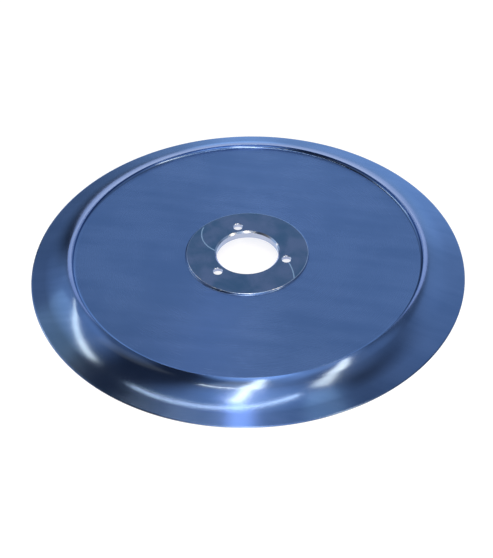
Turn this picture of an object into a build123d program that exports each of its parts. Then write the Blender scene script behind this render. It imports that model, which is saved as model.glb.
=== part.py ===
from build123d import *
import os
from math import atan2, cos, degrees, radians, sin, tan

# Round slicing blade, turned as one piece from a blank of stainless steel.
# It lies front down: the cutting edge is a circle at Z = 0 and Z is the blade's axis.
# All sizes are in millimetres, and slopes are in degrees from level.

# Cutting edge
blade_diameter = 280.0
bevel_width = 0.8
bevel_height = 0.45

# Raised crest, and the flare that falls from it to the edge in two arcs and a cone.
# The arcs meet a little steeper than the rim's mean slope, and their tangent legs are
# shares of the rim's width.
overall_height = 13.5
crest_diameter = 225.0
crest_width = 0.45
flare_slope_at_crest = 58.0
flare_slope_over_mean = 5.8
tight_arc_share = 0.14
wide_arc_share = 0.285

# Flat web inside the crest
web_drop = 2.1
web_thickness = 4.0
step_wall_slope = 78.0
step_foot_radius = 2.0

# Raised seat for the machine's hub, and its bore
boss_diameter = 78.5
boss_rise = 1.2
boss_wall_slope = 75.0
boss_foot_radius = 1.1
boss_edge_chamfer = 0.2
bore_diameter = 40.0
bore_back_chamfer = 1.0
bore_front_chamfer = 0.3

# Fixing holes, countersunk from the front
hole_count = 3
hole_circle_diameter = 52.0
hole_first_angle = 103.0
hole_diameter = 6.0
hole_back_chamfer = 0.3
countersink_diameter = 11.5
countersink_angle = 90.0

# Front: a slightly hollow land behind the edge, then the recess under the web
rim_wall = 3.6
recess_corner_radius = 4.0
land_hollow = 0.35
land_corner_radius = 2.0

edge_radius = blade_diameter / 2
crest_outer_radius = (crest_diameter + crest_width) / 2
crest_inner_radius = (crest_diameter - crest_width) / 2
boss_radius = boss_diameter / 2
bore_radius = bore_diameter / 2

web_back = overall_height - web_drop
web_front = web_back - web_thickness
boss_top = web_back + boss_rise

step_foot = crest_inner_radius - web_drop / tan(radians(step_wall_slope))
boss_foot = boss_radius + (boss_rise - boss_edge_chamfer) / tan(radians(boss_wall_slope))


def falling(slope):
    """Unit step outward along a back that falls at this slope."""
    return Vector(cos(radians(slope)), -sin(radians(slope)))


# Flare: each arc has equal tangent legs on both sides of its corner
crest_edge = Vector(crest_outer_radius, overall_height)
bevel_edge = Vector(edge_radius - bevel_width, bevel_height)
rim = bevel_edge - crest_edge
flare_slope = degrees(atan2(-rim.Y, rim.X)) + flare_slope_over_mean
tight_leg = tight_arc_share * rim.X
wide_leg = wide_arc_share * rim.X
tight_corner = crest_edge + falling(flare_slope_at_crest) * tight_leg
flare_middle = tight_corner + falling(flare_slope) * tight_leg
wide_corner = flare_middle + falling(flare_slope) * wide_leg
flange_start = wide_corner + (bevel_edge - wide_corner).normalized() * wide_leg

# The recess's wall is a cone that runs rim_wall under the flare's middle, down to the land
wall_gap = Vector(sin(radians(flare_slope)), cos(radians(flare_slope))) * rim_wall
wall_middle = flare_middle - wall_gap
wall_tangent = tan(radians(flare_slope))
recess_corner = (wall_middle.X - (web_front - wall_middle.Y) / wall_tangent, web_front)
land_corner = (wall_middle.X + (wall_middle.Y - land_hollow) / wall_tangent, land_hollow)

rounded_corners = [
    ((step_foot, web_back), step_foot_radius),
    ((boss_foot, web_back), boss_foot_radius),
    (recess_corner, recess_corner_radius),
    (land_corner, land_corner_radius),
]

with BuildPart() as blade:
    # Half section, from the cutting edge over the back to the bore and home along the front
    with BuildSketch(Plane.XZ) as section:
        with BuildLine():
            Polyline((edge_radius, 0), bevel_edge, flange_start)
            TangentArc(flare_middle, flange_start, tangent=falling(flare_slope))
            TangentArc(crest_edge, flare_middle, tangent=falling(flare_slope_at_crest))
            Polyline(
                crest_edge,
                (crest_inner_radius, overall_height),
                (step_foot, web_back),
                (boss_foot, web_back),
                (boss_radius, boss_top - boss_edge_chamfer),
                (boss_radius - boss_edge_chamfer, boss_top),
                (bore_radius + bore_back_chamfer, boss_top),
                (bore_radius, boss_top - bore_back_chamfer),
                (bore_radius, web_front + bore_front_chamfer),
                (bore_radius + bore_front_chamfer, web_front),
                recess_corner,
                land_corner,
                (edge_radius, 0),
            )
        make_face()
        for corner, radius in rounded_corners:
            fillet(section.vertices().sort_by_distance(corner)[0], radius)
    revolve(axis=Axis.Z)

    # The screw heads sit in the front face of the hub plate
    hub_front = Plane(origin=(0, 0, web_front), x_dir=(1, 0, 0), z_dir=(0, 0, -1))
    with Locations(hub_front):
        with PolarLocations(hole_circle_diameter / 2, hole_count, -hole_first_angle):
            CounterSinkHole(
                radius=hole_diameter / 2,
                counter_sink_radius=countersink_diameter / 2,
                depth=boss_top - web_front,
                counter_sink_angle=countersink_angle,
            )
    seat = blade.faces().filter_by(Axis.Z).sort_by(lambda face: abs(face.center().Z - boss_top))[0]
    hole_mouths = seat.edges().filter_by(lambda edge: edge.radius < hole_diameter)
    chamfer(hole_mouths, hole_back_chamfer)

blade.part.label = "slicer_blade"

os.makedirs("parts", exist_ok=True)
export_step(blade.part, "parts/slicer_blade.step")
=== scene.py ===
from math import atan2, cos, hypot, pi, radians, sin, tan

import bmesh
import bpy
from mathutils import Matrix, Quaternion, Vector


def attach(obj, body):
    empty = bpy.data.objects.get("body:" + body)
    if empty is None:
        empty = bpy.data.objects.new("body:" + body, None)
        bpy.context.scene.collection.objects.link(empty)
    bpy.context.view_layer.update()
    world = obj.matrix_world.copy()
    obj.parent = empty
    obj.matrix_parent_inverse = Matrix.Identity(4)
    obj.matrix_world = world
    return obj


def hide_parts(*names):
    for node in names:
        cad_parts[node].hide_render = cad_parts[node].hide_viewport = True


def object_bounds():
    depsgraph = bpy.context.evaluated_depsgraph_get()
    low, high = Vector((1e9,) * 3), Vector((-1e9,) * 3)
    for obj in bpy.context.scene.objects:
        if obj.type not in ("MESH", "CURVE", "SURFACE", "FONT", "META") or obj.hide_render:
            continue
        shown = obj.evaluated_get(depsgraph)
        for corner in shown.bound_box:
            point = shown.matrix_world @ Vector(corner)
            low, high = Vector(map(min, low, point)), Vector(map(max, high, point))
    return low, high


# Food slicer blade lying front down: one turned piece of steel, flared at the rim, with a
# raised crest round a flat web, and a raised hub seat with the bore and three fixing holes.
# All lengths are in metres, and slopes are in radians from level.

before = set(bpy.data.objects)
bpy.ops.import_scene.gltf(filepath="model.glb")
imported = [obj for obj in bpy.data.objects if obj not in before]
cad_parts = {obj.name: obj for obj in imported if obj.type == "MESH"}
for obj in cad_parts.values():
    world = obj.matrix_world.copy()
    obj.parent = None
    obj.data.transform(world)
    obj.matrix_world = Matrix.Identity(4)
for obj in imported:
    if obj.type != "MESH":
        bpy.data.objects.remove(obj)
cad_low, cad_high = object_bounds()

MM = 0.001

# Cutting edge and its ground bevel
edge_radius = min(cad_high.x, cad_high.y, -cad_low.x, -cad_low.y)
overall_height = cad_high.z
bevel_width = 0.8 * MM
bevel_height = 0.45 * MM

# Crest, and the flare that falls from it
crest_radius = 112.5 * MM
crest_width = 0.45 * MM
crest_rounding = 0.14 * MM
flare_slope_at_crest = radians(58)
flare_slope_over_mean = radians(5.8)
tight_arc_share = 0.14
wide_arc_share = 0.285

# Flat web inside the crest
web_drop = 2.1 * MM
web_thickness = 4.0 * MM
step_slope = radians(78)
step_foot_radius = 2.0 * MM

# Hub seat, its bore, and the ring that parts the drilled plate from the plain one
boss_radius = 39.25 * MM
boss_rise = 1.2 * MM
boss_slope = radians(75)
boss_foot_radius = 1.1 * MM
boss_edge_rounding = 0.42 * MM
bore_radius = 20.0 * MM
bore_back_chamfer = 1.0 * MM
bore_front_chamfer = 0.3 * MM
hub_ring_radius = 34.0 * MM

# Fixing holes, countersunk from the front at 45 degrees
hole_count = 3
hole_circle_radius = 26.0 * MM
hole_first_angle = radians(103)
hole_radius = 3.0 * MM
hole_back_chamfer = 0.3 * MM
countersink_radius = 5.75 * MM

# Front: the recess under the web, and the hollow land behind the edge
rim_wall = 3.6 * MM
recess_rounding = 4.0 * MM
land_hollow = 0.35 * MM
land_rounding = 2.0 * MM

web_back = overall_height - web_drop
web_front = web_back - web_thickness
boss_top = web_back + boss_rise

# Fineness of the mesh: spans round the blade and round a hole, and the length of a span
turns = 480
hole_turns = 64
leg_step = 3.0 * MM
bore_chamfer_step = 0.5 * MM
small_step = 0.3 * MM

# A leg shorter than this is left out, and vertices less than a step apart are one
shortest_leg = 1e-9
vertex_steps_per_metre = 1e8

# Finishes, in the order of the blade's materials
RIM, WEB, SEAT, GROUND, BORE, FRONT, CORNER = range(7)


class Section:
    """A line through the half section, with the true normal at both ends of each span."""

    def __init__(self, start):
        self.end = start
        self.spans = []

    def add(self, point, normal_from, normal_to, finish):
        self.spans.append((self.end, point, normal_from, normal_to, finish))
        self.end = point

    def line(self, point, finish, step=leg_step):
        """A straight leg, with its outward normal to the right of the way that it runs."""
        start = self.end
        run, rise = point[0] - start[0], point[1] - start[1]
        length = hypot(run, rise)
        if length < shortest_leg:
            return
        normal = (rise / length, -run / length)
        count = max(1, round(length / step))
        for i in range(1, count + 1):
            share = i / count
            self.add((start[0] + run * share, start[1] + rise * share), normal, normal, finish)

    def corner(self, corner, after, radius, finish, arc_spans, arc_finish=None):
        """A leg towards a corner, and the arc round it that is tangent to the next leg."""
        before = Vector((self.end[0] - corner[0], self.end[1] - corner[1])).normalized()
        onward = Vector((after[0] - corner[0], after[1] - corner[1])).normalized()
        half = before.angle(onward) / 2
        reach = radius / tan(half)
        arc_start = Vector(corner) + before * reach
        arc_end = Vector(corner) + onward * reach
        self.line(tuple(arc_start), finish)
        centre = Vector(corner) + (before + onward).normalized() * radius / sin(half)
        from_centre = arc_start - centre
        to_centre = arc_end - centre
        turn = atan2(from_centre.cross(to_centre), from_centre.dot(to_centre))
        # Outward normals point away from the arc's centre on a rounded edge, and to it in a hollow
        side = 1 if turn > 0 else -1
        previous = from_centre.normalized() * side
        for i in range(1, arc_spans + 1):
            angle = turn * i / arc_spans
            spoke = Vector(
                (
                    from_centre.x * cos(angle) - from_centre.y * sin(angle),
                    from_centre.x * sin(angle) + from_centre.y * cos(angle),
                )
            )
            normal = spoke.normalized() * side
            self.add(
                tuple(centre + spoke),
                tuple(previous),
                tuple(normal),
                finish if arc_finish is None else arc_finish,
            )
            previous = normal


def falling(point, slope, length):
    """The point this far out along a back that falls at this slope."""
    return (point[0] + length * cos(slope), point[1] - length * sin(slope))


def rim_section():
    """From the hub ring on the front, round the edge, to the hub ring on the back."""
    edge = (edge_radius, 0.0)
    bevel = (edge_radius - bevel_width, bevel_height)
    crest_outer = (crest_radius + crest_width / 2, overall_height)
    crest_inner = (crest_radius - crest_width / 2, overall_height)
    step_foot = (crest_inner[0] - web_drop / tan(step_slope), web_back)
    boss_foot = (boss_radius + boss_rise / tan(boss_slope), web_back)
    boss_edge = (boss_radius, boss_top)
    back_ring = (hub_ring_radius, boss_top)

    # The flare falls from the crest in a tight arc and a wide one, then in a cone to the bevel
    rim_width = bevel[0] - crest_outer[0]
    slope = atan2(crest_outer[1] - bevel[1], rim_width) + flare_slope_over_mean
    tight_leg = tight_arc_share * rim_width
    wide_leg = wide_arc_share * rim_width
    tight_corner = falling(crest_outer, flare_slope_at_crest, tight_leg)
    middle = falling(tight_corner, slope, tight_leg)
    wide_corner = falling(middle, slope, wide_leg)
    flange_slope = atan2(wide_corner[1] - bevel[1], bevel[0] - wide_corner[0])
    wide_radius = wide_leg / tan((slope - flange_slope) / 2)
    # The tight arc ends a little below the crest's rounded edge
    crest_leg = crest_rounding * tan(flare_slope_at_crest / 2)
    tight_radius = (tight_leg - crest_leg) / tan((flare_slope_at_crest - slope) / 2)

    # The recess's wall is a cone that runs rim_wall under the flare's middle, down to the land
    wall_middle = (middle[0] - rim_wall * sin(slope), middle[1] - rim_wall * cos(slope))
    recess_corner = (wall_middle[0] - (web_front - wall_middle[1]) / tan(slope), web_front)
    land_corner = (wall_middle[0] + (wall_middle[1] - land_hollow) / tan(slope), land_hollow)

    section = Section((hub_ring_radius, web_front))
    section.corner(recess_corner, land_corner, recess_rounding, FRONT, arc_spans=6)
    section.corner(land_corner, edge, land_rounding, FRONT, arc_spans=4)
    section.line(edge, FRONT)
    section.line(bevel, GROUND, small_step)
    section.corner(wide_corner, tight_corner, wide_radius, RIM, arc_spans=30)
    section.corner(tight_corner, crest_outer, tight_radius, RIM, arc_spans=30)
    section.corner(crest_outer, crest_inner, crest_rounding, RIM, arc_spans=4)
    section.corner(crest_inner, step_foot, crest_rounding, RIM, arc_spans=4)
    section.corner(step_foot, boss_foot, step_foot_radius, RIM, arc_spans=14)
    section.corner(boss_foot, boss_edge, boss_foot_radius, WEB, arc_spans=9)
    section.corner(boss_edge, back_ring, boss_edge_rounding, WEB, arc_spans=6, arc_finish=CORNER)
    section.line(back_ring, SEAT)
    return section.spans


def bore_section():
    """From the back's chamfer down the bore to the front's."""
    section = Section((bore_radius + bore_back_chamfer, boss_top))
    section.line((bore_radius, boss_top - bore_back_chamfer), CORNER, bore_chamfer_step)
    section.line((bore_radius, web_front + bore_front_chamfer), BORE)
    section.line((bore_radius + bore_front_chamfer, web_front), BORE)
    return section.spans


def hole_section():
    """From a fixing hole's chamfer on the back down to its countersink's mouth."""
    sink_top = web_front + countersink_radius - hole_radius
    section = Section((hole_radius + hole_back_chamfer, boss_top))
    section.line((hole_radius, boss_top - hole_back_chamfer), CORNER, small_step)
    section.line((hole_radius, sink_top), BORE)
    section.line((countersink_radius, web_front), BORE)
    return section.spans


def hole_centres():
    angles = [hole_first_angle + 2 * pi * i / hole_count for i in range(hole_count)]
    return [(hole_circle_radius * cos(a), hole_circle_radius * sin(a)) for a in angles]


def place_object(name, data):
    """A new object of the scene that holds this data."""
    made = bpy.data.objects.new(name, data)
    bpy.context.scene.collection.objects.link(made)
    return made


class TurnedMesh:
    """Gathers faces with the normal that each of their corners has."""

    def __init__(self):
        self.mesh = bmesh.new()
        self.grid = {}
        self.normals = []

    def vertex(self, x, y, z):
        """The vertex here, shared by all faces that meet in it."""
        key = tuple(round(value * vertex_steps_per_metre) for value in (x, y, z))
        if key not in self.grid:
            self.grid[key] = self.mesh.verts.new((x, y, z))
        return self.grid[key]

    def face(self, corners, normals, finish):
        made = self.mesh.faces.new([self.vertex(*c) for c in corners])
        made.material_index = finish
        made.smooth = True
        self.normals.append(normals)

    def revolve(self, spans, count, centre=(0.0, 0.0)):
        """Turns a section's spans round a vertical axis."""
        directions = [(cos(2 * pi * i / count), sin(2 * pi * i / count)) for i in range(count)]

        def place(point, direction):
            return (
                centre[0] + point[0] * direction[0],
                centre[1] + point[0] * direction[1],
                point[1],
            )

        def tilt(normal, direction):
            return (normal[0] * direction[0], normal[0] * direction[1], normal[1])

        for start, end, normal_from, normal_to, finish in spans:
            for i in range(count):
                here, there = directions[i], directions[(i + 1) % count]
                self.face(
                    [place(start, here), place(start, there), place(end, there), place(end, here)],
                    [
                        tilt(normal_from, here),
                        tilt(normal_from, there),
                        tilt(normal_to, there),
                        tilt(normal_to, here),
                    ],
                    finish,
                )

    def plate(self, level, inner_radius, mouth_radius, up, finish):
        """The flat ring between a bore and the hub ring, with the fixing holes left open."""
        loops = [(0.0, 0.0, hub_ring_radius, turns), (0.0, 0.0, inner_radius, turns)]
        loops += [(x, y, mouth_radius, hole_turns) for x, y in hole_centres()]
        sheet = bmesh.new()
        for x, y, radius, count in loops:
            ring = [
                sheet.verts.new(
                    (x + radius * cos(2 * pi * i / count), y + radius * sin(2 * pi * i / count), 0)
                )
                for i in range(count)
            ]
            for i in range(count):
                sheet.edges.new((ring[i], ring[(i + 1) % count]))
        bmesh.ops.triangle_fill(sheet, use_beauty=True, edges=sheet.edges[:])
        for filled in sheet.faces:
            corners = [v.co.copy() for v in filled.verts]
            if (filled.normal.z > 0) != up:
                corners.reverse()
            self.face(
                [(c.x, c.y, level) for c in corners],
                [(0.0, 0.0, 1.0 if up else -1.0)] * len(corners),
                finish,
            )
        sheet.free()

    def to_object(self, name):
        data = bpy.data.meshes.new(name)
        self.mesh.to_mesh(data)
        self.mesh.free()
        data.normals_split_custom_set([n for face in self.normals for n in face])
        return place_object(name, data)


def make_blade():
    turned = TurnedMesh()
    turned.revolve(rim_section(), turns)
    turned.revolve(bore_section(), turns)
    for centre in hole_centres():
        turned.revolve(hole_section(), hole_turns, centre)
    bore_mouth = bore_radius + bore_back_chamfer
    hole_mouth = hole_radius + hole_back_chamfer
    turned.plate(boss_top, bore_mouth, hole_mouth, True, SEAT)
    turned.plate(web_front, bore_radius + bore_front_chamfer, countersink_radius, False, FRONT)
    return turned.to_object("blade")


class Graph:
    """Short forms for the nodes of one tree."""

    def __init__(self, tree):
        self.tree = tree

    def node(self, kind, **settings):
        made = self.tree.nodes.new(kind)
        for name, value in settings.items():
            setattr(made, name, value)
        return made

    def feed(self, socket, value):
        """Links an output to the socket, or sets a plain value on the socket itself."""
        if isinstance(value, bpy.types.NodeSocket):
            self.tree.links.new(value, socket)
        else:
            socket.default_value = value

    def feed_first(self, made, values):
        """Feeds a node's first inputs in their order, and gives its first output."""
        for socket, value in zip(made.inputs, values):
            self.feed(socket, value)
        return made.outputs[0]

    def feed_named(self, made, values):
        """Feeds a node's inputs by their names, and gives its first output."""
        for name, value in values.items():
            self.feed(made.inputs[name], value)
        return made.outputs[0]

    def math(self, operation, *values):
        return self.feed_first(self.node("ShaderNodeMath", operation=operation), values)

    def hypotenuse(self, x, y):
        squares = self.math("ADD", self.math("MULTIPLY", x, x), self.math("MULTIPLY", y, y))
        return self.math("SQRT", squares)

    def join(self, x, y, z):
        return self.feed_first(self.node("ShaderNodeCombineXYZ"), (x, y, z))

    def split(self, vector):
        made = self.node("ShaderNodeSeparateXYZ")
        self.feed(made.inputs[0], vector)
        return made.outputs

    def noise(self, vector, scale=1.0, detail=3.0, roughness=0.5, distortion=0.0):
        return self.feed_named(
            self.node("ShaderNodeTexNoise"),
            {
                "Vector": vector,
                "Scale": scale,
                "Detail": detail,
                "Roughness": roughness,
                "Distortion": distortion,
            },
        )

    def remap(self, value, from_low, from_high, to_low=0.0, to_high=1.0):
        """Eases from one value to another while the input crosses its range."""
        return self.feed_named(
            self.node("ShaderNodeMapRange", interpolation_type="SMOOTHSTEP"),
            {
                "Value": value,
                "From Min": from_low,
                "From Max": from_high,
                "To Min": to_low,
                "To Max": to_high,
            },
        )

    def mix(self, share, first, second):
        made = self.node("ShaderNodeMix", data_type="RGBA")
        self.feed_named(made, {"Factor": share, "A": first, "B": second})
        return made.outputs["Result"]


class Shader(Graph):
    """The nodes of one procedural material."""

    def __init__(self, name):
        self.material = bpy.data.materials.new(name)
        self.material.use_nodes = True
        super().__init__(self.material.node_tree)

    def place(self):
        """The shaded point's own place on the object."""
        return self.node("ShaderNodeTexCoord").outputs["Object"]

    def finish(self, values):
        """Sets the surface, and gives the finished material."""
        self.feed_named(self.tree.nodes["Principled BSDF"], values)
        return self.material


# Tones of the turned steel: plain, pale and deep
BLUE_STEEL = ((0.115, 0.19, 0.43, 1.0), (0.14, 0.22, 0.47, 1.0), (0.09, 0.16, 0.37, 1.0))
BORED_STEEL = ((0.36, 0.43, 0.56, 1.0), (0.42, 0.49, 0.60, 1.0), (0.31, 0.38, 0.52, 1.0))
BRIGHT_STEEL = ((0.40, 0.48, 0.72, 1.0), (0.46, 0.54, 0.76, 1.0), (0.34, 0.42, 0.68, 1.0))
GRAZING_TINT = (0.80, 0.90, 1.0, 1.0)

# Tones of the hub seat and of the two lighter curved lines on it
SEAT_STEEL = (0.122, 0.163, 0.305, 1.0)
DEEP_SEAT_STEEL = (0.062, 0.12, 0.235, 1.0)
LIGHT_LINE_STEEL = (0.38, 0.50, 0.72, 1.0)

# The lathe's rings: how fast the noise changes across them, per metre, and along them
fine_rings = (5000.0, 1.2)
broad_rings = (260.0, 2.0)
ring_height = 0.0007 * MM
ring_share = 0.12

# A quarter turn draws the shine out across the rings
shine_turn = 0.25

# Stains wiped by hand, a little aslant: how fast they change, per metre, and how much shows
cloud_scale = 26.0
wipe_along = 12.0
wipe_across = 90.0
wipe_slant = 18.0
stain_share = 0.44
stain_tint = 0.55
roughness_spread = 0.02

# Two lighter, rougher lines on the hub seat: parts of two circles, each fading out over a stretch
# of x and of y
light_line_half_width = 0.6 * MM
light_line_fade = 2.0 * MM
first_light_line_centre = (-10.3 * MM, 18.5 * MM)
first_light_line_radius = 19.3 * MM
first_light_line_top = (24.0 * MM, 26.5 * MM)
second_light_line_centre = (-11.7 * MM, -26.0 * MM)
second_light_line_radius = 40.8 * MM
second_light_line_top = (-12.0 * MM, -10.0 * MM)
light_line_roughness = 0.2


def turning_place(shader, place, across, along):
    """Coordinates that change fast across the lathe's rings and slowly along them."""
    x, y, z = shader.split(place)
    radius = shader.hypotenuse(x, y)
    depth = shader.math("MULTIPLY", shader.math("SUBTRACT", radius, z), across)
    east = shader.math("MULTIPLY", shader.math("DIVIDE", x, radius), along)
    north = shader.math("MULTIPLY", shader.math("DIVIDE", y, radius), along)
    return shader.join(depth, east, north)


def wiped_place(shader, place):
    """Coordinates that change slowly along the strokes of a wiping hand."""
    x, y, z = shader.split(place)
    stroke = shader.math("MULTIPLY", x, wipe_along)
    slant = shader.math("MULTIPLY", x, wipe_slant)
    across = shader.math("ADD", shader.math("MULTIPLY", y, wipe_across), slant)
    return shader.join(stroke, across, z)


def turned_steel(name, roughness, anisotropy, tones=BLUE_STEEL):
    """Steel with a lathe's fine rings, which draw each lamp out across them, wiped by hand."""
    shader = Shader(name)
    place = shader.place()
    fine = shader.noise(turning_place(shader, place, *fine_rings), roughness=0.6)
    broad = shader.noise(turning_place(shader, place, *broad_rings))
    cloud = shader.noise(place, scale=cloud_scale, roughness=0.55)
    wiped = shader.noise(wiped_place(shader, place), detail=4.0, roughness=0.6)

    rings = shader.math("MULTIPLY", fine, ring_share)
    stains = shader.math("MULTIPLY", shader.math("ADD", cloud, wiped), stain_share)
    tone = shader.remap(shader.math("ADD", rings, stains), from_low=0.38, from_high=0.62)
    plain, pale, deep = tones
    worn = shader.remap(
        shader.math("ADD", fine, cloud),
        from_low=0.7,
        from_high=1.3,
        to_low=roughness - roughness_spread,
        to_high=roughness + roughness_spread,
    )
    tangent = shader.node("ShaderNodeTangent", direction_type="RADIAL", axis="Z")
    bump = {"Strength": 1.0, "Distance": ring_height, "Height": broad}
    return shader.finish(
        {
            "Base Color": shader.mix(stain_tint, plain, shader.mix(tone, deep, pale)),
            "Roughness": worn,
            "Metallic": 1.0,
            "Specular Tint": GRAZING_TINT,
            "Anisotropic": anisotropy,
            "Anisotropic Rotation": shine_turn,
            "Tangent": tangent.outputs[0],
            "Normal": shader.feed_named(shader.node("ShaderNodeBump"), bump),
        }
    )


def circle_line(shader, x, y, centre, radius):
    """1 along a circle drawn on the seat, falling to 0 on both sides of it."""
    east = shader.math("SUBTRACT", x, centre[0])
    north = shader.math("SUBTRACT", y, centre[1])
    off = shader.math("SUBTRACT", shader.hypotenuse(east, north), radius)
    return shader.remap(shader.math("ABSOLUTE", off), 0.0, light_line_half_width, 1.0, 0.0)


def light_lines_on_seat(shader, place):
    """1 along the two fine lighter curved lines, and 0 elsewhere."""
    x, y = shader.split(place)[:2]
    first = shader.math(
        "MULTIPLY",
        circle_line(shader, x, y, first_light_line_centre, first_light_line_radius),
        shader.math(
            "MULTIPLY",
            shader.remap(x, -light_line_fade, 0.0, 1.0, 0.0),
            shader.remap(y, *first_light_line_top, 1.0, 0.0),
        ),
    )
    second = shader.math(
        "MULTIPLY",
        circle_line(shader, x, y, second_light_line_centre, second_light_line_radius),
        shader.remap(x, 0.0, light_line_fade, 0.0, 1.0),
    )
    shown = shader.remap(y, *second_light_line_top, 1.0, 0.0)
    return shader.math("ADD", first, shader.math("MULTIPLY", second, shown))


def polished_seat():
    """The hub seat: lapped bright, clouded by handling, with two lighter, rougher curved lines."""
    shader = Shader("polished_seat")
    place = shader.place()
    cloud = shader.noise(place, scale=60.0, detail=4.0, roughness=0.6, distortion=0.4)
    clouded = shader.mix(
        shader.remap(cloud, from_low=0.32, from_high=0.68), DEEP_SEAT_STEEL, SEAT_STEEL
    )
    light_lines = light_lines_on_seat(shader, place)
    polish = shader.remap(cloud, from_low=0.3, from_high=0.7, to_low=0.12, to_high=0.17)
    light_line_roughening = shader.math("MULTIPLY", light_lines, light_line_roughness)
    return shader.finish(
        {
            # The seat is a lighter colour along the two curved lines, and rougher there too
            "Base Color": shader.mix(light_lines, clouded, LIGHT_LINE_STEEL),
            "Roughness": shader.math("ADD", polish, light_line_roughening),
            "Metallic": 1.0,
        }
    )


# In the order of the finishes: name, roughness, anisotropy and tones
materials = [
    turned_steel("turned_rim", 0.15, 0.5),
    turned_steel("turned_web", 0.26, 0.75),
    polished_seat(),
    turned_steel("ground_edge", 0.25, 0.5),
    turned_steel("machined_bore", 0.20, 0.3, BORED_STEEL),
    turned_steel("turned_front", 0.30, 0.7),
    turned_steel("bright_corner", 0.20, 0.3, BRIGHT_STEEL),
]

blade = make_blade()
for material in materials:
    blade.data.materials.append(material)
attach(blade, "root")
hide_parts("slicer_blade")

# Floor
floor_half_width = 3.0
FLOOR_COLOUR = (0.30, 0.30, 0.30, 1.0)
FLOOR_IN_STEEL = (1.0, 0.94, 1.0, 1.0)
FLOOR_TO_THE_EYE = (0.82, 0.82, 0.84, 1.0)


def make_floor():
    """White to the eye and in the steel, and it still takes the blade's soft shadow."""
    shader = Shader("floor_white")
    rays = shader.node("ShaderNodeLightPath").outputs
    seen = shader.math("MAXIMUM", rays["Is Camera Ray"], rays["Is Glossy Ray"])
    glow = shader.mix(rays["Is Camera Ray"], FLOOR_IN_STEEL, FLOOR_TO_THE_EYE)
    white = shader.finish(
        {
            "Base Color": FLOOR_COLOUR,
            "Roughness": 0.9,
            "Specular IOR Level": 0.0,
            "Emission Color": glow,
            "Emission Strength": shader.math("MAXIMUM", seen, rays["Is Transmission Ray"]),
        }
    )

    half = floor_half_width
    corners = [(-half, -half, 0), (half, -half, 0), (half, half, 0), (-half, half, 0)]
    data = bpy.data.meshes.new("floor")
    data.from_pydata(corners, [], [(0, 1, 2, 3)])
    data.materials.append(white)
    floor = place_object("floor", data)


make_floor()

# Room: its base, and glows given as azimuth, elevation and reach in degrees, and strength
ROOM_BASE = (0.06, 0.07, 0.08)
ROOM_COLOUR = (0.76, 0.93, 1.0)
ROOM_GLOWS = [
    (12, 5, 32, 0.62),
    (28, 32, 45, 0.62),
    (-14, 28, 28, 0.36),
    (-64, 22, 34, 0.75),
    (75, 5, 50, 0.22),
    (118, 38, 38, 0.42),
    (142, 5, 35, 0.70),
    (180, 5, 35, 1.75),
    (-1, 1, 7, 1.3),
    (160, 30, 22, 0.5),
    (178, 42, 32, 0.35),
    (178, 66, 28, 0.42),
    (180, 88, 28, 0.78),
    (-100, 10, 32, 0.28),
]


def direction(azimuth, elevation):
    """Azimuth 0 looks away from the camera, and 90 to its right."""
    a, e = radians(azimuth), radians(elevation)
    return Vector((sin(a) * cos(e), cos(a) * cos(e), sin(e)))


def make_world():
    """A dim blue-grey room with soft glows, the strongest low down behind the camera."""
    world = bpy.data.worlds.new("room")
    bpy.context.scene.world = world
    world.use_nodes = True
    room = Graph(world.node_tree)
    looking = room.node("ShaderNodeTexCoord").outputs["Generated"]
    light = ROOM_BASE
    for azimuth, elevation, reach, strength in ROOM_GLOWS:
        facing = room.node("ShaderNodeVectorMath", operation="DOT_PRODUCT")
        room.feed_first(facing, (looking, direction(azimuth, elevation)))
        share = room.remap(facing.outputs["Value"], cos(radians(reach)), 1.0)
        glow = room.node("ShaderNodeVectorMath", operation="SCALE")
        room.feed(glow.inputs[0], [channel * strength for channel in ROOM_COLOUR])
        room.feed(glow.inputs["Scale"], share)
        added = room.node("ShaderNodeVectorMath", operation="ADD")
        light = room.feed_first(added, (light, glow.outputs[0]))
    room.feed_named(room.tree.nodes["Background"], {"Color": light, "Strength": 1.0})


make_world()

# Lamps: long strips, windows and panels on the ceiling, and a row of small spots
LAMP_COLOUR = (1.0, 0.71, 0.35)
OVERHEAD_COLOUR = (1.0, 0.82, 0.52)
PANEL_COLOUR = (0.88, 1.0, 0.75)
WINDOW_COLOUR = (0.80, 0.84, 1.0)
ceiling_height = 1.5


def make_strip(name, start, end, width, radiance, colour=LAMP_COLOUR):
    """A strip light on the ceiling between two points of it, turned to face the blade."""
    start = Vector((*start, ceiling_height))
    end = Vector((*end, ceiling_height))
    middle = (start + end) / 2
    along = (end - start).normalized()
    away = (middle - along * middle.dot(along)).normalized()
    data = bpy.data.lights.new(name, "AREA")
    data.shape = "RECTANGLE"
    data.size = width
    data.size_y = (end - start).length
    data.energy = radiance * pi * data.size * data.size_y
    data.color = colour
    lamp = place_object(name, data)
    lamp.location = middle
    lamp.rotation_mode = "QUATERNION"
    lamp.rotation_quaternion = Matrix((along.cross(away), along, away)).transposed().to_quaternion()
    lamp.visible_camera = False


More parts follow.
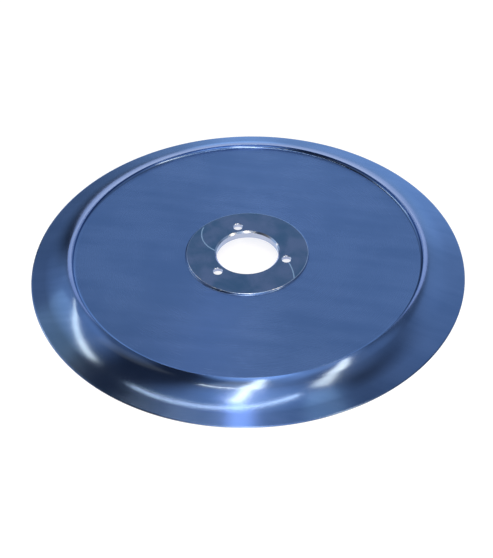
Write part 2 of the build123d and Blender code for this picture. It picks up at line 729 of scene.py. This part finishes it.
make_strip("strip_left", (-9.4, 4.66), (-1.05, 0.55), 0.17, 5.7)
make_strip("strip_overhead", (-0.70, 0.295), (0.36, -0.275), 0.04, 12.0, OVERHEAD_COLOUR)
make_strip("strip_right", (0.58, -0.33), (1.05, -0.66), 0.20, 5.6)
make_strip("strip_far_right", (1.05, -0.70), (3.7, -2.62), 0.34, 6.4)
make_strip("strip_behind", (-0.115, -0.22), (-0.03, -0.75), 0.10, 10.0)
make_strip("strip_far_behind", (-0.03, -0.75), (0.34, -3.0), 0.26, 7.6)
make_strip("window_overhead", (-0.04, 0.27), (-0.10, -0.22), 0.12, 2.5, WINDOW_COLOUR)
make_strip("window_behind", (-0.10, -0.2), (0.10, -1.4), 0.36, 0.45, WINDOW_COLOUR)
make_strip("window_beyond", (-0.11, 1.16), (-0.11, 1.40), 0.16, 1.1, WINDOW_COLOUR)
make_strip("panel_behind", (-0.35, -0.65), (-0.20, -2.4), 0.50, 0.5)
make_strip("panel_right", (0.52, -0.20), (0.34, 0.30), 0.20, 0.65, PANEL_COLOUR)
make_strip("panel_left", (-0.95, 0.80), (-2.9, 1.9), 0.80, 0.50, PANEL_COLOUR)
make_strip("panel_near_left", (-1.6, -0.45), (-4.2, -1.15), 1.90, 0.20)

spot_count = 4
first_spot_x = -0.23
spot_spacing = 0.11
spot_y = -0.86
spot_half_length = 0.015
spot_width = 0.05
spot_radiance = 45.0
for i in range(spot_count):
    x = first_spot_x - spot_spacing * i
    spot_start = (x - spot_half_length, spot_y)
    spot_end = (x + spot_half_length, spot_y)
    make_strip(f"spot_{i + 1}", spot_start, spot_end, spot_width, spot_radiance)

# Camera, as the photograph was taken; the blade's axis lies a little off the frame's centre
camera_elevation = radians(41.95)
camera_distance = 0.9658
camera_roll = radians(-1.24)
focal_pixels = 1488.0
frame_height_pixels = 558
origin_right_of_centre = 1.2
origin_above_centre = 12.4


def make_camera():
    data = bpy.data.cameras.new("camera")
    data.sensor_width = 36.0
    data.lens = focal_pixels / frame_height_pixels * data.sensor_width
    camera = place_object("camera", data)
    camera.location = (
        0.0,
        -camera_distance * cos(camera_elevation),
        camera_distance * sin(camera_elevation),
    )
    look = (-camera.location).to_track_quat("-Z", "Y")
    origin = Vector((origin_right_of_centre, origin_above_centre, -focal_pixels))
    aim = origin.rotation_difference(Vector((0, 0, -1)))
    camera.rotation_mode = "QUATERNION"
    camera.rotation_quaternion = look @ Quaternion((0, 0, 1), camera_roll) @ aim
    bpy.context.scene.camera = camera


make_camera()

bpy.context.scene.view_settings.view_transform = "Standard"
